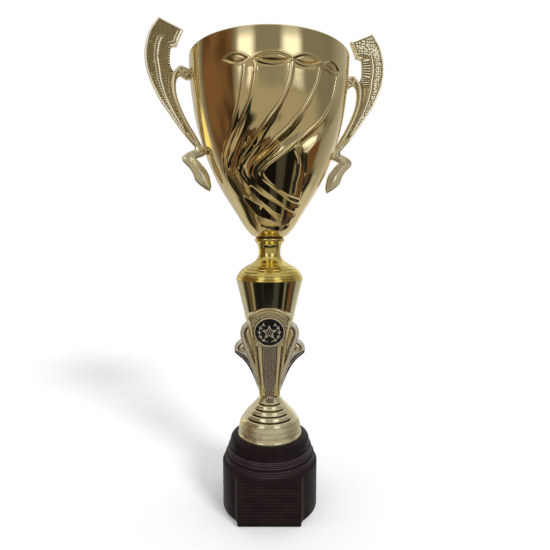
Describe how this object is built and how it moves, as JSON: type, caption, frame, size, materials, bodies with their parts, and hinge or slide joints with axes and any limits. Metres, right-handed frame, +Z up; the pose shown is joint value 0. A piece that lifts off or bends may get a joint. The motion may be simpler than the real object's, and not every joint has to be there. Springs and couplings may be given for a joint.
{
  "type": "cup trophy",
  "caption": "Gold presentation cup: fluted bowl with scroll handles on a flared stem with side wings and an emblem panel, on a dark ribbed plinth, all clamped by one central tie rod.",
  "frame": {"origin": "on the table under the tie rod, at the middle of the plinth's felt", "axes": "+Z up along the tie rod, -Y out of the emblem panel and the ribbed front of the plinth, +X to the right of a viewer facing the emblem"},
  "size_m": [0.2114, 0.1402, 0.4374],
  "materials": {
    "felt": "short felt",
    "hardboard": "raw hardboard",
    "plinth_dark": "satin moulded with fine ribs and a faint grain",
    "iron": "raw casting",
    "zinc_steel": "zinc plated",
    "plated_pale": "metallised pale gold, mirror smooth with knurled fields",
    "plated_champagne": "metallised champagne",
    "plated_yellow": "metallised yellow gold",
    "plated_handle": "metallised pale gold with cast relief",
    "emblem_black": "black with gilt lines",
    "fibre_black": "soft seat washer",
    "bowl_gold": "mirror polished, gold anodised"
  },
  "bodies": {
    "plinth": {"base_felt": "felt", "bottom_plate": "hardboard", "plinth_body": "plinth_dark", "plinth_cap": "plinth_dark", "base_weight": "iron", "bottom_washer": "zinc_steel", "bottom_nut": "zinc_steel", "tie_rod": "zinc_steel", "bowl_washer": "zinc_steel", "bowl_nut": "zinc_steel"},
    "stem": {"foot_dome": "plated_pale", "column": "plated_pale", "front_panel": "plated_pale", "back_panel": "plated_pale", "emblem_disc": "emblem_black", "wing_left": "plated_champagne", "wing_right": "plated_champagne", "neck_collar": "plated_yellow", "seat_washer": "fibre_black"},
    "bowl": {"bowl": "bowl_gold", "handle_left": "plated_handle", "handle_right": "plated_handle", "handle_screws": "zinc_steel", "handle_washers": "zinc_steel"}
  },
  "joints": [
    {"name": "stem_swivel", "type": "hinge", "parent": "plinth", "child": "stem", "pos_m": [0, 0, 0.068], "axis": [0, 0, 1], "continuous": true},
    {"name": "bowl_swivel", "type": "hinge", "parent": "stem", "child": "bowl", "pos_m": [0, 0, 0.2528], "axis": [0, 0, 1], "continuous": true}
  ]
}
